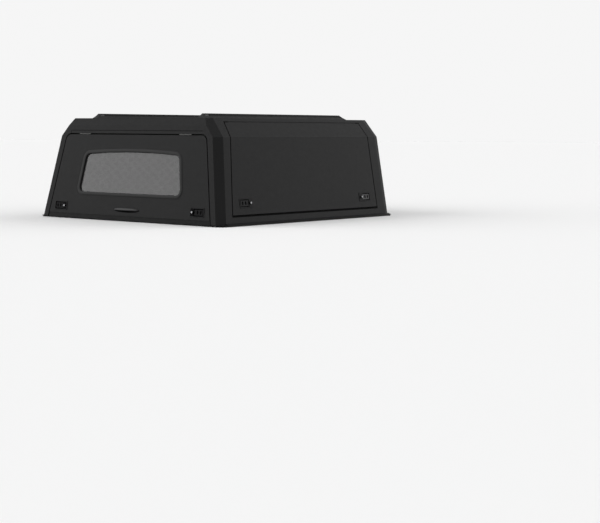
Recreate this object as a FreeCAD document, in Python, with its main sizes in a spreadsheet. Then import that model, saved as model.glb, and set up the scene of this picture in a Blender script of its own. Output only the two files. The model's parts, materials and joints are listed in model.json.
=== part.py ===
import FreeCAD, Part
import math
import os
import re
import Sketcher

# Pickup truck canopy in folded sheet steel: a hollow shell that is open underneath, a rear door
# that lifts on two hinges, a side door on each flank that lifts along the roof, two roof rails.
# Frame: +X right, +Y forward, +Z up, origin on the ground plane at the centre of the base.

os.makedirs("parts", exist_ok=True)
doc = FreeCAD.newDocument("canopy")
Vector = FreeCAD.Vector
Rotation = FreeCAD.Rotation
Placement = FreeCAD.Placement

sizes = {
    # outer form
    "body_length": 1660,
    "half_base": 780,
    "half_shoulder": 683,
    "half_roof": 587,
    "shoulder_up": 520,
    "roof_up": 631,
    "rear_set": 78,
    "brow_up": 588,
    "roof_set": 112,
    "corner_across": 26,
    "corner_along": 62,
    "nose_across": 6,
    "nose_along": 30,
    "nose_set": 14,
    "header_set": 42,
    "step_up": 563,
    "step_half": 574,
    # sheet and gaps
    "skin": 1.6,
    "door_depth": 25,
    "door_gap": 7,
    "seal_room": 7,
    "seal_clear": 0.4,
    "lip_width": 20,
    "seal_width": 13,
    "seal_set": 4,
    "seat": 0.3,
    # base
    "gasket_up": 8,
    "gasket_inset": 4,
    "gasket_width": 34,
    "flange_out": 23,
    "flange_up": 18,
    "foot_width": 66,
    "foot_corner_across": 35,
    "foot_corner_along": 34,
    "clamp_hole": 4.5,
    "clamp_inset": 16,
    "clamp_from_end": 300,
    # side door, seen from the side
    "side_sill_up": 64.5,
    "side_head_up": 607,
    "side_rear": 134,
    "side_rear_lean": 0.162,
    "side_head_lean": 0.31,
    "side_front": 115,
    # rear door, seen square on
    "rear_sill_up": 34,
    "rear_head_up": 535,
    "rear_half_base": 708,
    "rear_half_head": 605,
    "rear_corner": 42,
    "rear_head_gap": 8,
    "rear_skirt_low": 6,
    "rear_skirt_set": 2,
    # rear window, seen square on
    "window_low": 163.5,
    "window_high": 422.5,
    "window_crown": 16,
    "window_half_low": 456,
    "window_half_high": 414,
    "window_corner": 44,
    "glass_thick": 5,
    "glass_depth": 7,
    "glass_gap": 1,
    "rim_out": 12,
    "rim_bite": 13,
    "rim_proud": 5,
    "rim_back": 4,
    # front window
    "pane_low": 250,
    "pane_high": 500,
    "pane_half": 470,
    "pane_corner": 45,
    "pane_set": 3,
    # roof rails
    "rail_at": 455,
    "rail_rear": 181,
    "rail_leg_run": 38,
    "rail_body_rear": 252,
    "rail_front": 75,
    "rail_front_run": 68,
    "rail_half_foot": 24,
    "rail_half_top": 14,
    "rail_waist": 15,
    "rail_tall": 29.5,
    "rail_sheet": 4,
    "rail_leg_width": 9,
    # hinges
    "hinge_at": 438,
    "hinge_width": 100,
    "hinge_leaf": 1.5,
    "hinge_knuckle": 3.3,
    "hinge_bore": 1.6,
    "hinge_pin": 1.55,
    "hinge_play": 0.5,
    "hinge_reach": 22,
    "hinge_notch": 4.5,
    "side_knuckle": 2.8,
    "side_axis_in": 3,
    "side_hinge_margin": 30,
    "side_hinge_run": 120,
    # locks
    "lock_long": 115,
    "lock_tall": 58,
    "lock_corner": 6,
    "lock_rim": 5,
    "lock_proud": 2,
    "lock_deep": 16,
    "lock_wall": 2,
    "lock_play": 0.5,
    "rear_lock_at": 595,
    "rear_lock_up": 80,
    "side_lock_up": 134,
    "side_lock_rear": 262,
    "side_lock_front": 1427,
    "lever_tall": 34,
    "lever_thick": 4,
    "lever_top": 0.5,
    "lever_room": 5,
    "lever_eye": 4,
    "lever_bore": 2.05,
    "lever_pin": 2,
    "lever_to_barrel": 3,
    "lever_eye_room": 1,
    "barrel_at": 36,
    "barrel_radius": 9,
    "barrel_proud": 7,
    # pull handle
    "pull_half": 108,
    "pull_low": 55,
    "pull_high": 86,
    "pull_proud": 16,
    "pull_corner": 15,
    "pull_corner_top": 4,
    "pull_wall": 3,
    "pull_face": 5,
    "pull_end": 18,
    "pull_top": 6,
    "pull_round": 7,
}

sheet = doc.addObject("Spreadsheet::Sheet", "Sizes")
for row, (alias, number) in enumerate(sizes.items(), start=1):
    sheet.set(f"A{row}", alias)
    sheet.set(f"B{row}", str(number))
    sheet.setAlias(f"B{row}", alias)
doc.recompute()

# Lengths that follow from the sizes above, as formulas of the sheet's names
rear_at = "(-body_length / 2)"
front_at = "(body_length / 2)"
side_lean = "((half_base - half_shoulder) / shoulder_up)"
shoulder_lean = "((half_shoulder - half_roof) / (roof_up - shoulder_up))"
rear_lean = "(rear_set / shoulder_up)"
brow_lean = "((roof_set - rear_set * brow_up / shoulder_up) / (roof_up - brow_up))"
nose_lean = "(-nose_set / (roof_up - shoulder_up))"
frame_depth = "(door_depth + seal_room)"


def bound(formula):
    """The formula with each of the sheet's names written as Sizes.name."""
    return re.sub(r"[a-z]\w*", lambda m: "Sizes." + m[0] if m[0] in sizes else m[0], str(formula))


reckoner = doc.addObject("Spreadsheet::Sheet", "Reckoner")


def value(formula):
    reckoner.set("A1", f"={bound(formula)}")
    reckoner.recompute()
    return float(reckoner.get("A1"))


def bind(thing, **formulas):
    for name, formula in formulas.items():
        thing.setExpression(name.replace("__", "."), bound(formula))
    return thing


# Outlines are closed by straight edges: a steep edge keeps across = at + lean * up, a level edge
# keeps up = at. Each is moved square to itself by shift, and two edges meet in a corner.

def steep(at, lean="0", shift="0"):
    return ("steep", f"({at} + ({shift}) * sqrt(1 + {lean} ^ 2))", lean)


def level(at, shift="0"):
    return ("level", f"({at} + ({shift}))", "0")


def corner(first, second):
    if first[0] == "level":
        first, second = second, first
    if second[0] == "level":
        return f"({first[1]} + {first[2]} * {second[1]})", second[1]
    up = f"(({second[1]} - {first[1]}) / ({first[2]} - {second[2]}))"
    return f"({first[1]} + {first[2]} * {up})", up


def corners(edges):
    return [corner(edges[i - 1], edges[i]) for i in range(len(edges))]


def frame_at(x, y, z, across, up):
    """Placement whose own X runs across and whose own Y runs up the surface, Z pointing out."""
    return Placement(Vector(x, y, z), Rotation(across, up, across.cross(up), "ZXY"))


rear_tilt = Vector(0, value(rear_lean), 1).normalize()
side_tilt = Vector(-value(side_lean), 0, 1).normalize()
rear_frame = frame_at(0, value(rear_at), 0, Vector(1, 0, 0), rear_tilt)
flank_frame = frame_at(value("half_base"), 0, 0, Vector(0, 1, 0), side_tilt)
planes = {
    "front": Placement(Vector(0, 0, 0), Rotation(Vector(1, 0, 0), 90)),
    "side": Placement(Vector(0, 0, 0), Rotation(Vector(1, 1, 1), 120)),
    "level": Placement(),
    "rear": rear_frame,
    "flank": flank_frame,
}
runs = {
    "front": Vector(0, 1, 0),
    "side": Vector(1, 0, 0),
    "level": Vector(0, 0, 1),
    "rear": -(Vector(1, 0, 0).cross(rear_tilt)),
    "flank": -(Vector(0, 1, 0).cross(side_tilt)),
}


def toward(start, end, length):
    return start + (end - start).normalize() * length


def draw(sketch, points, radii=None, crown=None):
    """Closed outline through the points. radii rounds its corners, by number, and crown makes one
    edge an arc that rises by the given height: (edge number, height)."""
    radii = radii or {}
    count = len(points)
    spots = [Vector(value(x), value(y), 0) for x, y in points]
    starts, ends, rounds = list(spots), list(spots), {}
    for i, radius in radii.items():
        before, here, after = spots[i - 1], spots[i], spots[(i + 1) % count]
        half = (before - here).getAngle(after - here) / 2
        trim = value(radius) / math.tan(half)
        ends[i], starts[i] = toward(here, before, trim), toward(here, after, trim)
        middle = toward(here, (ends[i] + starts[i]) / 2, value(radius) / math.sin(half) - value(radius))
        rounds[i] = Part.Arc(ends[i], middle, starts[i])
    for i in range(count):
        start, end = starts[i], ends[(i + 1) % count]
        if crown and crown[0] == i:
            lift = Vector(0, value(crown[1]), 0)
            sketch.addGeometry(Part.Arc(start, (start + end) / 2 + lift, end))
        else:
            sketch.addGeometry(Part.LineSegment(start, end))

    def tip(edge, spot):
        """Number of the end of the edge that lies at the spot."""
        curve = sketch.Geometry[edge]
        return 1 if curve.StartPoint.distanceToPoint(spot) < curve.EndPoint.distanceToPoint(spot) else 2

    def place(edge, end, number):
        for axis, kind in ((0, "DistanceX"), (1, "DistanceY")):
            made = sketch.addConstraint(Sketcher.Constraint(kind, -1, 1, edge, end, spots[number][axis]))
            name = f"corner{number}{'xy'[axis]}"
            sketch.renameConstraint(made, name)
            bind(sketch, **{"Constraints__" + name: points[number][axis]})

    for i in range(count):
        last = (i - 1) % count
        if i not in radii:
            joint = (last, tip(last, spots[i]), i, tip(i, spots[i]))
            sketch.addConstraint(Sketcher.Constraint("Coincident", *joint))
            place(i, joint[3], i)
            continue
        arc = sketch.addGeometry(rounds[i])
        for edge, spot in ((last, ends[i]), (i, starts[i])):
            sketch.addConstraint(Sketcher.Constraint("Tangent", edge, tip(edge, spot), arc, tip(arc, spot)))
        made = sketch.addConstraint(Sketcher.Constraint("Radius", arc, value(radii[i])))
        sketch.renameConstraint(made, f"round{i}")
        bind(sketch, **{f"Constraints__round{i}": radii[i]})
        mark = sketch.addGeometry(Part.Point(spots[i]), True)
        place(mark, 1, i)
        for edge in (last, i):
            sketch.addConstraint(Sketcher.Constraint("PointOnObject", mark, 1, edge))
    if crown:
        first, second = points[crown[0]][0], points[(crown[0] + 1) % count][0]
        radius = f"(((({first} - {second}) / 2) ^ 2 + ({crown[1]}) ^ 2) / (2 * ({crown[1]})))"
        made = sketch.addConstraint(Sketcher.Constraint("Radius", crown[0], value(radius)))
        sketch.renameConstraint(made, "crown")
        bind(sketch, Constraints__crown=radius)
    return sketch


def flat(name, plane, points, at="0", radii=None, crown=None):
    sketch = doc.addObject("Sketcher::SketchObject", name)
    sketch.Placement = planes[plane]
    draw(sketch, points, radii, crown)
    if plane == "level":
        bind(sketch, Placement__Base__z=at)
    return sketch


def prism(name, plane, points, start, end, radii=None, crown=None):
    """Outline in one of the views, run along the view's axis from start to end. In the rear view
    the axis is square to the raked rear and counts the depth below its surface."""
    made = doc.addObject("Part::Extrusion", name)
    made.Base = flat(name + "_outline", plane, points, "0", radii, crown)
    made.DirMode = "Custom"
    made.Dir = runs[plane]
    made.Solid = True
    return bind(made, LengthFwd=end, LengthRev=f"-({start})")


def box(name, low, high):
    made = doc.addObject("Part::Box", name)
    bind(made, Length=f"{high[0]} - ({low[0]})", Width=f"{high[1]} - ({low[1]})",
         Height=f"{high[2]} - ({low[2]})", Placement__Base__x=low[0],
         Placement__Base__y=low[1], Placement__Base__z=low[2])
    return made


def combine(kind, name, *shapes):
    made = doc.addObject("Part::Multi" + kind, name)
    made.Shapes = list(shapes)
    made.Refine = True
    return made


def common(name, *shapes):
    return combine("Common", name, *shapes)


def fuse(name, *shapes):
    return combine("Fuse", name, *shapes)


def cut(name, base, *tools):
    made = doc.addObject("Part::Cut", name)
    made.Base = base
    made.Tool = tools[0] if len(tools) == 1 else fuse(name + "_tool", *tools)
    made.Refine = True
    return made


def mirrored(name, source):
    made = doc.addObject("Part::Mirroring", name)
    made.Source = source
    made.Normal = Vector(1, 0, 0)
    return made


def whole(name, half):
    return fuse(name, half, mirrored(name + "_left_half", half))


# How far the blocks that cut and divide reach past what they work on

below = "-100"
above = "(roof_up + 60)"
past = "20"
beyond = "200"
far = "8"


# The folded form, right half, at a given depth below the outer surface


def bevel_tool(name, at, across_lean, along_lean, level_up, along, depth, facing):
    """What lies outside a slanted corner facet, as a block run up along the facet."""
    run = f"sqrt(({along[0]}) ^ 2 + ({along[1]}) ^ 2)"
    tilt = f"(({along[1]}) * ({across_lean}) - ({along[0]}) * ({along_lean}) * {facing})"
    inward = f"({depth} * sqrt(({run}) ^ 2 + ({tilt}) ^ 2) / ({run}) ^ 2)"
    x = f"({at[0]} + ({across_lean}) * ({below} - {level_up}) - {inward} * ({along[1]}))"
    y = f"({at[1]} + ({along_lean}) * ({below} - {level_up}) + {facing} * {inward} * ({along[0]}))"
    near = (f"({x} - {far} * ({along[0]}))", f"({y} - {facing} * {far} * ({along[1]}))")
    other = (f"({x} + {far} * ({along[0]}))", f"({y} + {facing} * {far} * ({along[1]}))")
    outside = f"({other[0]} + {beyond})"
    made = doc.addObject("Part::Extrusion", name)
    made.Base = flat(name + "_outline", "level", [near, (outside, near[1]), (outside, other[1]), other], below)
    made.DirMode = "Custom"
    made.Solid = True
    rise = f"({above} - {below})"
    return bind(made, Dir__x=f"({across_lean}) * {rise}", Dir__y=f"({along_lean}) * {rise}", Dir__z=rise)


def form(tag, depth):
    """The roof keeps its height in the deeper forms, which only shape the flanks and the rear."""
    inward = f"-({depth})"
    roof_inward = inward if tag == "skin" else "0"
    section = corners([
        level(below),
        steep("half_base", f"(-{side_lean})", inward),
        steep(f"(half_shoulder + {shoulder_lean} * shoulder_up)", f"(-{shoulder_lean})", inward),
        level("roof_up", roof_inward),
        steep("0"),
    ])
    profile = corners([
        level(below),
        steep(front_at, "0", inward),
        level("roof_up", roof_inward),
        steep(f"({rear_at} + roof_set - {brow_lean} * roof_up)", brow_lean, depth),
        steep(rear_at, rear_lean, depth),
    ])
    across = prism(f"section_{tag}", "front", section, f"({rear_at} - {beyond})", f"({front_at} + {beyond})")
    along = prism(f"profile_{tag}", "side", profile, f"-{beyond}", f"(half_base + {beyond})")
    corner_run = ("corner_across", "corner_along")
    tools = [
        bevel_tool(f"corner_{tag}", ("(half_base - corner_across)", rear_at), f"(-{side_lean})",
                   rear_lean, "0", corner_run, depth, 1),
        bevel_tool(f"upper_corner_{tag}", ("(half_shoulder - corner_across)", f"({rear_at} + rear_set)"),
                   f"(-{shoulder_lean})", rear_lean, "shoulder_up", corner_run, depth, 1),
        bevel_tool(f"nose_{tag}", ("(half_base - nose_across)", front_at), f"(-{side_lean})", "0", "0",
                   ("nose_across", "nose_along"), depth, -1),
        bevel_tool(f"upper_nose_{tag}", ("(half_shoulder - nose_across)", front_at), f"(-{shoulder_lean})",
                   nose_lean, "shoulder_up", ("nose_across", "nose_along"), depth, -1),
    ]
    return cut(f"form_{tag}", common(f"block_{tag}", across, along), *tools)


depths = {
    "outer": "0",
    "skin": "skin",
    "inner": "(door_depth - skin)",
    "door": "door_depth",
    "seal": "(door_depth + seal_clear)",
    "seat": frame_depth,
    "lip": f"({frame_depth} + skin)",
}
forms = {tag: form(tag, depth) for tag, depth in depths.items()}


def layer(name, upper, lower):
    return cut(name, forms[upper], forms[lower])


sheet_layer = layer("sheet_layer", "outer", "skin")
wall_layer = layer("wall_layer", "skin", "lip")
lip_layer = layer("lip_layer", "seat", "lip")
seal_layer = layer("seal_layer", "seal", "seat")
return_layer = layer("return_layer", "skin", "door")
lining_layer = layer("lining_layer", "inner", "door")

# Openings. grow moves every edge of a door's outline outwards.

side_kink = f"({rear_at} + side_rear + side_rear_lean * (shoulder_up - side_sill_up))"
through = f"({frame_depth} + {past})"
head_run = f"sqrt(1 + {shoulder_lean} ^ 2)"


def head_point(out, up):
    """A point in the front view, measured square to the shoulder and up it, from the side door's head edge."""
    return (f"(half_shoulder - {shoulder_lean} * (side_head_up - shoulder_up)"
            f" + (({out}) - {shoulder_lean} * ({up})) / {head_run})",
            f"(side_head_up + (({up}) + {shoulder_lean} * ({out})) / {head_run})")


def side_block(name, grow):
    """The head lies square to the shoulder, so that the door's inner edge swings clear."""
    edges = [
        level("side_sill_up", f"-({grow})"),
        steep(f"({front_at} - side_front)", "0", grow),
        level("side_head_up", "(door_gap + skin)"),
        steep(f"({side_kink} - side_head_lean * shoulder_up)", "side_head_lean", f"-({grow})"),
        steep(f"({side_kink} - side_rear_lean * shoulder_up)", "side_rear_lean", f"-({grow})"),
    ]
    block = prism(name + "_block", "side", corners(edges), "(half_roof / 2)", "(half_base + flange_out)")
    past = f"({grow} + 3 * lip_width)"
    head = prism(name + "_head", "front", [head_point(f"-{through}", grow), head_point("lip_width", grow),
                                           head_point("lip_width", past), head_point(f"-{through}", past)],
                 rear_at, front_at)
    return cut(name, block, head)


def rear_block(name, grow, start, end, head_grow=None, sill=below):
    lean = "((rear_half_head - rear_half_base) / rear_head_up)"
    edges = [
        level(sill),
        steep("rear_half_base", lean, grow),
        level("rear_head_up", head_grow or grow),
        steep("(-rear_half_base)", f"(-{lean})", f"-({grow})"),
    ]
    radius = f"(rear_corner + {grow})"
    return prism(name, "rear", corners(edges), start, end, {2: radius, 3: radius})


side_open = side_block("side_opening", "door_gap")
rear_open = rear_block("rear_opening", "door_gap", f"-{past}", through, "rear_head_gap")
side_wall = common("side_wall", wall_layer,
                   cut("side_wall_ring", side_block("side_wall_out", "(door_gap + skin)"), side_open))
side_lip = common("side_lip", lip_layer,
                  cut("side_lip_ring", side_open, side_block("side_lip_in", "(door_gap - lip_width)")))
rear_wall = common("rear_wall", wall_layer,
                   cut("rear_wall_ring", rear_block("rear_wall_out", "(door_gap + skin)", f"-{past}", through,
                                                    "(rear_head_gap + skin)"), rear_open))
rear_lip = common("rear_lip", lip_layer,
                  cut("rear_lip_ring", rear_open,
                      rear_block("rear_lip_in", "(door_gap - lip_width)", f"-{past}", through)))


def step_block(name, grow, start, end):
    """The strip above the rear door, which is set back by one sheet; grow widens it at its ends and top."""
    points = [(f"(-step_half - {grow})", "rear_head_up"), (f"(step_half + {grow})", "rear_head_up"),
              (f"(step_half + {grow})", f"(step_up + {grow})"), (f"(-step_half - {grow})", f"(step_up + {grow})")]
    return prism(name, "rear", points, start, end)


step = cut("step", step_block("step_sheet", "skin", "skin", "(2 * skin)"), rear_open)
shell_sheet = cut("shell_sheet", sheet_layer, side_open, rear_open, step_block("step_room", "0", f"-{past}", "skin"))
foot_top = "(gasket_up + skin)"
outer_side = f"(half_base + {beyond})"
behind, rear_half = f"({rear_at} - {beyond})", f"({rear_at} + body_length / 2)"
above_foot = box("above_foot", ("0", behind, foot_top), (outer_side, front_at, "roof_up"))
shell_half = common("shell_half", above_foot,
                    fuse("shell_parts", shell_sheet, step, side_wall, side_lip, rear_wall, rear_lip))

# The shell's pieces meet edge to edge at these planes
roof_under = "(roof_up - skin)"
plate_back = f"({front_at} - skin)"
header_half = "(half_roof - header_set)"
post_rear = f"({side_kink} - side_rear_lean * (shoulder_up - side_sill_up) - door_gap)"
post_front = f"({front_at} - side_front + door_gap)"
rail_low = "(side_sill_up - door_gap + lip_width)"
cant_low = f"({head_point(f'-({frame_depth} + skin)', 'door_gap - lip_width')[1]} - seat)"
cant_rear = f"({side_kink} + side_head_lean * ({cant_low} - shoulder_up))"

nodes = {}


def node(label, made):
    made.Label = label
    nodes[label] = made
    return made


def pair(label, right):
    node(label + "_right", right)
    node(label + "_left", mirrored(label + "_mirror", right))


roof_zone = box("roof_zone", ("0", behind, roof_under), (outer_side, front_at, "roof_up"))
front_zone = box("front_zone", ("0", plate_back, foot_top), (outer_side, front_at, roof_under))
header_zone = box("header_zone", ("0", behind, "(rear_head_up / 2)"),
                  (header_half, f"({rear_at} + {beyond})", roof_under))
cant_zone = box("cant_zone", (header_half, cant_rear, cant_low), (outer_side, post_front, roof_under))
rail_zone = box("rail_zone", ("(half_base / 2)", post_rear, foot_top), (outer_side, post_front, rail_low))
rear_side = box("rear_side", (header_half, behind, foot_top), (outer_side, rear_half, roof_under))
nose_side = box("nose_side", (header_half, rear_half, foot_top), (outer_side, plate_back, roof_under))
rear_zone = cut("rear_zone", rear_side, cant_zone, rail_zone)
nose_zone = cut("nose_zone", nose_side, cant_zone, rail_zone)

node("roof_panel", whole("roof", common("roof_half", shell_half, roof_zone)))
node("rear_header", whole("header", common("header_right_half", shell_half, header_zone)))
pair("rear_pillar", common("rear_pillar", shell_half, rear_zone))
pair("front_pillar", common("front_pillar", shell_half, nose_zone))
pair("roof_side_rail", common("cant_rail", shell_half, cant_zone))
pair("lower_side_rail", common("sill_rail", shell_half, rail_zone))


# Base flange: a foot plate under each flank with a lip that flares out to shed water

def foot_plate():
    tip = "(half_base + flange_out)"
    inside = f"({tip} - foot_width)"
    points = [(inside, rear_at), (f"({tip} - foot_corner_across)", rear_at),
              (tip, f"({rear_at} + foot_corner_along)"), (tip, front_at), (inside, front_at)]
    plate = prism("foot_plate", "level", points, "gasket_up", foot_top)
    holes = []
    for number, along in enumerate((f"({rear_at} + clamp_from_end)", f"({front_at} - clamp_from_end)")):
        hole = doc.addObject("Part::Cylinder", f"clamp_hole_{number}")
        bind(hole, Radius="clamp_hole", Height="gasket_up + 2 * skin",
             Placement__Base__x=f"{inside} + clamp_inset", Placement__Base__y=along)
        holes.append(hole)
    return cut("foot_drilled", plate, *holes)


def flare():
    tip = "(half_base + flange_out)"
    root = f"(half_base - {side_lean} * flange_up)"
    points = [(f"({root} + skin)", "flange_up"), (root, "flange_up"),
              (f"({tip} - 3 * skin)", foot_top), (tip, foot_top)]
    return prism("flare", "front", points, f"({rear_at} + corner_along)", front_at)


pair("base_flange", fuse("base_flange", foot_plate(), flare()))


# Side doors: a folded tray that follows the flank and the shoulder, closed by a lining


def rectangle(low_x, low_y, high_x, high_y):
    return [(low_x, low_y), (high_x, low_y), (high_x, high_y), (low_x, high_y)]


def centred(half_x, half_y, x="0", y="0"):
    return rectangle(f"({x} - {half_x})", f"({y} - {half_y})", f"({x} + {half_x})", f"({y} + {half_y})")


case_half_long = "(lock_long / 2 - lock_rim)"
case_half_tall = "(lock_tall / 2 - lock_rim)"


def lock_holes(name, block, spots, plane):
    """The door sheet with a square hole for each lock case."""
    half_x, half_y = f"({case_half_long} + lock_play)", f"({case_half_tall} + lock_play)"
    holes = [prism(f"{name}_{number}", plane, centred(half_x, half_y, x, y), f"-{past}", past)
             for number, (x, y) in enumerate(spots)]
    return cut(name, block, *holes)


side_spots = [(f"({rear_at} + side_lock_rear)", "side_lock_up"),
              (f"({rear_at} + side_lock_front)", "side_lock_up")]
rear_spots = [("rear_lock_at", "rear_lock_up"), ("(-rear_lock_at)", "rear_lock_up")]

side_door = side_block("side_door", "0")
side_inside = side_block("side_door_inside", "(-skin)")
side_return = common("side_return", return_layer, cut("side_return_ring", side_door, side_inside))
side_outer = fuse("side_tray", common("side_face", sheet_layer, side_door), side_return)
pair("side_door_panel", lock_holes("side_door_holes", side_outer, side_spots, "flank"))
pair("side_door_lining", common("side_lining", lining_layer, side_inside))

# Rear door: a tray with a framed window hole, closed by a lining, with a skirt below its hem


def window_block(name, grow, start, end):
    lean = "((window_half_high - window_half_low) / (window_high - window_low))"
    edges = [
        level("window_low", f"-({grow})"),
        steep(f"(window_half_low - {lean} * window_low)", lean, grow),
        level("window_high", grow),
        steep(f"(-(window_half_low - {lean} * window_low))", f"(-{lean})", f"-({grow})"),
    ]
    radius = f"(window_corner + {grow})"
    radii = {number: radius for number in range(4)}
    return prism(name, "rear", corners(edges), start, end, radii, (2, "window_crown"))


window_hole = window_block("window_hole", "0", f"-{past}", f"(door_depth + {past})")
window_frame = window_block("window_frame", "skin", "skin", "door_depth")
tray = cut("rear_tray", rear_block("rear_door", "0", "0", "door_depth", sill="rear_sill_up"),
           rear_block("rear_tray_inside", "(-skin)", "skin", f"(door_depth + {past})", sill="(rear_sill_up + skin)"))
framed = cut("rear_tray_framed", fuse("rear_tray_frame", tray, window_frame), window_hole)
node("rear_door_panel", lock_holes("rear_door_holes", framed, rear_spots, "rear"))
lining = rear_block("rear_lining", "(-skin)", "(door_depth - skin)", "door_depth", sill="(rear_sill_up + skin)")
node("rear_door_lining", cut("rear_lining_open", lining,
                             window_block("window_lining", "skin", "0", f"(door_depth + {past})")))
skirt_lean = "((rear_half_head - rear_half_base) / rear_head_up)"
skirt = corners([level("rear_skirt_low"), steep("rear_half_base", skirt_lean), level("rear_sill_up"),
                 steep("(-rear_half_base)", f"(-{skirt_lean})")])
skirt_back = "(rear_skirt_set + skin)"
skirt_foot = corners([level("(rear_skirt_low)"), steep("rear_half_base", skirt_lean),
                      level("(rear_skirt_low + skin)"), steep("(-rear_half_base)", f"(-{skirt_lean})")])
node("rear_door_skirt", fuse("rear_skirt", prism("skirt_face", "rear", skirt, "rear_skirt_set", skirt_back),
                             prism("skirt_foot", "rear", skirt_foot, skirt_back, "door_depth")))

# Windows: a sheet of glass in a rubber seal whose lip covers the edge of the hole
glass_back = "(glass_depth + glass_thick)"
node("rear_window_glass", window_block("rear_glass", "(-glass_gap)", "glass_depth", glass_back))
lip_front = cut("rim_front", window_block("rim_out_face", "rim_out", "-rim_proud", "0"),
                window_block("rim_front_hole", "(-rim_bite)", f"-{past}", past))
rim_core = cut("rim_core", window_block("rim_core_out", "0", "0", f"{glass_back} + rim_back"),
               window_block("rim_core_hole", "(-rim_bite)", f"-{past}", f"({glass_back} + {past})"),
               window_block("rim_groove", "(-glass_gap)", "glass_depth", glass_back))
node("rear_window_seal", fuse("rear_rim", lip_front, rim_core))


def pane_block(name, grow, start, end):
    points = rectangle(f"(-pane_half - ({grow}))", f"(pane_low - ({grow}))",
                       f"(pane_half + ({grow}))", f"(pane_high + ({grow}))")
    radii = {number: f"(pane_corner + {grow})" for number in range(4)}
    return prism(name, "front", points, start, end, radii)


inner_foot = "(half_base + flange_out - foot_width)"
front_foot = box("front_foot", (f"(-{inner_foot})", f"({front_at} - foot_width)", "gasket_up"),
                 (inner_foot, front_at, foot_top))
front_sheet = whole("front_whole", common("front_plate_half", shell_half, front_zone))
through_front = (f"({plate_back} - {past})", f"({front_at} + {past})")
node("front_panel", cut("front_plate", fuse("front_sheet", front_sheet, front_foot),
                        pane_block("pane_hole", "0", *through_front)))
pane_out = f"({front_at} - skin / 2 + glass_thick / 2)"
pane_in = f"({front_at} - skin / 2 - glass_thick / 2)"
node("front_window_glass", pane_block("front_glass", "(-pane_set)", pane_in, pane_out))
pane_lips = pane_block("pane_lips", "rim_out", f"({pane_in} - rim_proud / 2)", f"({pane_out} + rim_proud / 2)")
pane_groove = cut("pane_groove", pane_block("pane_groove_out", "(rim_out + skin)", plate_back, front_at),
                  pane_block("pane_groove_in", "0", *through_front))
node("front_window_seal", cut("pane_seal", pane_lips, pane_groove,
                              pane_block("pane_sight", "(-rim_bite)", *through_front),
                              pane_block("pane_slot", "(-pane_set)", pane_in, pane_out)))

# Rubber: a gasket under the base flange, and a seal on the lip of each door opening


def gasket():
    outside = "(half_base + flange_out - gasket_inset)"
    inside = f"({outside} - gasket_width)"
    rear_end, front_end = f"({rear_at} + foot_corner_along)", f"({front_at} - gasket_inset)"
    strips = [box("gasket_right", (inside, rear_end, "0"), (outside, front_end, "gasket_up")),
              box("gasket_left", (f"(-{outside})", rear_end, "0"), (f"(-{inside})", front_end, "gasket_up")),
              box("gasket_front", (f"(-{inside} + seat)", f"({front_end} - gasket_width)", "0"),
                  (f"({inside} - seat)", front_end, "gasket_up"))]
    made = doc.addObject("Part::Compound", "gasket")
    made.Links = strips
    return made


node("base_gasket", gasket())
seal_out, seal_in = "(door_gap - seal_set)", "(door_gap - seal_set - seal_width)"
pair("side_opening_seal", common("side_seal", seal_layer,
                                 cut("side_seal_ring", side_block("side_seal_out", seal_out),
                                     side_block("side_seal_in", seal_in))))
rear_seal_ring = cut("rear_seal_ring", rear_block("rear_seal_out", seal_out, "door_depth + seal_clear", frame_depth),
                     rear_block("rear_seal_in", seal_in, "0", through))
node("rear_opening_seal", cut("rear_seal", rear_seal_ring,
                              box("rear_seal_foot", ("(-half_base)", behind, f"(2 * {below})"),
                                  ("half_base", f"({rear_at} + {beyond})", "flange_up"))))


# Fittings: bodies drawn on their own planes, each set on the surface that carries it


def body(name, placement):
    made = doc.addObject("PartDesign::Body", name)
    made.Placement = placement
    return made


def sketch_in(host, name, role, points, offset="0", radii=None):
    made = host.newObject("Sketcher::SketchObject", name)
    made.AttachmentSupport = [(next(p for p in host.Origin.OriginFeatures if p.Role == role), "")]
    made.MapMode = "FlatFace"
    draw(made, points, radii)
    return bind(made, AttachmentOffset__Base__z=offset)


def disc_in(host, name, role, x, y, radius, offset="0", bore=None):
    made = host.newObject("Sketcher::SketchObject", name)
    made.AttachmentSupport = [(next(p for p in host.Origin.OriginFeatures if p.Role == role), "")]
    made.MapMode = "FlatFace"
    for number, size in enumerate([radius] + ([bore] if bore else [])):
        made.addGeometry(Part.Circle(Vector(value(x), value(y), 0), Vector(0, 0, 1), value(size)))
        rules = (("DistanceX", x), ("DistanceY", y))
        for kind, formula in rules:
            made.addConstraint(Sketcher.Constraint(kind, -1, 1, number, 3, value(formula)))
            made.renameConstraint(made.ConstraintCount - 1, f"{kind}{number}")
            bind(made, **{f"Constraints__{kind}{number}": formula})
        made.addConstraint(Sketcher.Constraint("Radius", number, value(size)))
        made.renameConstraint(made.ConstraintCount - 1, f"radius{number}")
        bind(made, **{f"Constraints__radius{number}": size})
    return bind(made, AttachmentOffset__Base__z=offset)


def grow(host, kind, name, sketch, length, back=False, both=False):
    made = host.newObject("PartDesign::" + kind, name)
    made.Profile = sketch
    made.Reversed = back
    made.Midplane = both
    return bind(made, Length=length)


# Roof rails: a folded channel, open below, with a bent leg that stands free at its rear end


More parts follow.
